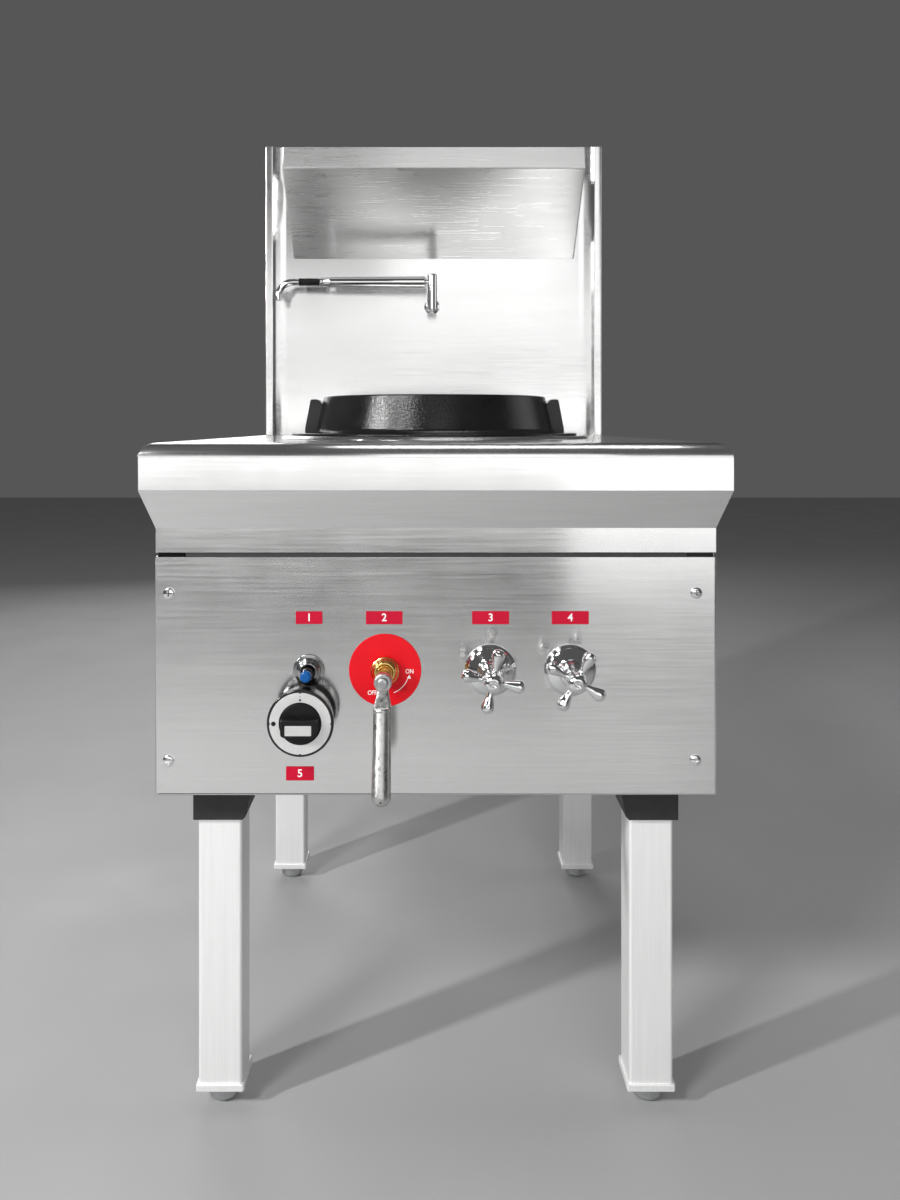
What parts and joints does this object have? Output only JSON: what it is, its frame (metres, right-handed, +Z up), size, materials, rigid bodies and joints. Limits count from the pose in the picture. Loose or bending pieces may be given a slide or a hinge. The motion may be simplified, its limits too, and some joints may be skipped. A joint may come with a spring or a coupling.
{
  "type": "wok range",
  "caption": "Free-standing gas wok range with a cast wok ring, tall splashback, water tank, swing faucet, gas and water controls and square legs on levelling feet.",
  "frame": {"origin": "centre of the overall bounding box in plan, on the floor under the feet", "axes": "+Z up from the floor, -Y towards the cook at the control panel, +X to the cook's right"},
  "size_m": [0.65, 0.9418, 1.2933],
  "materials": {
    "brushed_stainless": "fine directional brushing, lightly smudged",
    "dull_steel": "dull zinc-plated or bare steel",
    "chrome": "polished chrome plate",
    "cast_metal": "dull cast and tumbled metal",
    "black_cast_iron": "black enamelled cast iron with a sand-cast skin",
    "brass": "machined brass",
    "red_enamel": "bright red enamel with white figures",
    "black_paint": "matte black paint",
    "black_gloss": "glossy black moulding",
    "black_plastic": "satin black moulding",
    "blue_plastic": "blue moulded push button",
    "refractory": "matte insulating refractory",
    "porcelain": "glazed white porcelain",
    "red_silicone": "matte silicone insulation"
  },
  "bodies": {
    "range_body": {"deck": "brushed_stainless", "ring_seat": "brushed_stainless", "front_panel": "brushed_stainless", "front_rail": "dull_steel", "left_side_panel": "brushed_stainless", "right_side_panel": "brushed_stainless", "back_panel": "brushed_stainless", "base_pan": "dull_steel", "combustion_chamber": "dull_steel", "chamber_lining": "refractory", "chamber_stand": "dull_steel", "main_burner": "black_cast_iron", "gas_manifold": "dull_steel", "burner_supply_pipe": "dull_steel", "main_gas_valve": "brass", "lever_plate": "red_enamel", "lever_nut": "brass", "pilot_dial": "black_gloss", "pilot_valve": "brass", "pilot_pipe": "brass", "pilot_burner": "dull_steel", "igniter_body": "chrome", "igniter_lead": "red_silicone", "igniter_electrode": "porcelain", "tank_valve": "brass", "tank_valve_bonnet": "chrome", "faucet_valve": "brass", "faucet_valve_bonnet": "chrome", "water_manifold": "brass", "faucet_feed_pipe": "brass", "tank_feed_pipe": "brass", "faucet_body": "chrome", "splash_panel": "brushed_stainless", "rear_casing": "brushed_stainless", "flue_duct": "dull_steel", "water_tank": "brushed_stainless", "front_left_leg": "brushed_stainless", "front_right_leg": "brushed_stainless", "rear_left_leg": "brushed_stainless", "rear_right_leg": "brushed_stainless", "front_left_socket": "black_paint", "front_right_socket": "black_paint", "rear_left_socket": "black_paint", "rear_right_socket": "black_paint"},
    "gas_lever": {"lever_spindle": "brass", "main_lever": "cast_metal", "lever_screw": "dull_steel"},
    "pilot_stem": {"pilot_spindle": "dull_steel"},
    "pilot_knob_body": {"pilot_knob": "black_plastic"},
    "igniter_plunger": {"igniter_button": "blue_plastic"},
    "tank_handle": {"tank_valve_handle": "chrome"},
    "faucet_handle": {"faucet_valve_handle": "chrome"},
    "swing_arm": {"faucet_arm": "chrome", "faucet_sleeve": "black_plastic", "faucet_spout": "chrome"},
    "loose_ring": {"wok_ring": "black_cast_iron"},
    "front_left_leveller": {"front_left_foot": "dull_steel"},
    "front_right_leveller": {"front_right_foot": "dull_steel"},
    "rear_left_leveller": {"rear_left_foot": "dull_steel"},
    "rear_right_leveller": {"rear_right_foot": "dull_steel"}
  },
  "joints": [
    {"name": "lever_turn", "type": "hinge", "parent": "range_body", "child": "gas_lever", "pos_m": [-0.056, -0.3691, 0.5113], "axis": [0, -1, 0], "range_deg": [0, 90]},
    {"name": "pilot_push", "type": "slide", "parent": "range_body", "child": "pilot_stem", "axis": [0, 1, 0], "range_m": [0, 0.004], "stiffness_N_per_m": 1500, "springref_m": -0.002},
    {"name": "pilot_turn", "type": "hinge", "parent": "pilot_stem", "child": "pilot_knob_body", "pos_m": [-0.145, -0.3691, 0.4633], "axis": [0, -1, 0], "range_deg": [0, 180]},
    {"name": "igniter_push", "type": "slide", "parent": "range_body", "child": "igniter_plunger", "axis": [0, 1, 0], "range_m": [0, 0.008], "stiffness_N_per_m": 800, "springref_m": -0.003},
    {"name": "tank_valve_turn", "type": "hinge", "parent": "range_body", "child": "tank_handle", "pos_m": [0.06, -0.3691, 0.5113], "axis": [0, -1, 0], "range_deg": [0, 480]},
    {"name": "faucet_valve_turn", "type": "hinge", "parent": "range_body", "child": "faucet_handle", "pos_m": [0.148, -0.3691, 0.5113], "axis": [0, -1, 0], "range_deg": [0, 480]},
    {"name": "faucet_swivel", "type": "hinge", "parent": "range_body", "child": "swing_arm", "pos_m": [-0.003, 0.2844, 1.03], "axis": [0, 0, 1], "range_deg": [0, 180]},
    {"name": "wok_ring_lift", "type": "slide", "parent": "range_body", "child": "loose_ring", "axis": [0, 0, 1], "range_m": [0, 0.12]},
    {"name": "front_left_foot_screw", "type": "slide", "parent": "range_body", "child": "front_left_leveller", "axis": [0, 0, -1], "range_m": [0, 0.025]},
    {"name": "front_right_foot_screw", "type": "slide", "parent": "range_body", "child": "front_right_leveller", "axis": [0, 0, -1], "range_m": [0, 0.025]},
    {"name": "rear_left_foot_screw", "type": "slide", "parent": "range_body", "child": "rear_left_leveller", "axis": [0, 0, -1], "range_m": [0, 0.025]},
    {"name": "rear_right_foot_screw", "type": "slide", "parent": "range_body", "child": "rear_right_leveller", "axis": [0, 0, -1], "range_m": [0, 0.025]}
  ]
}
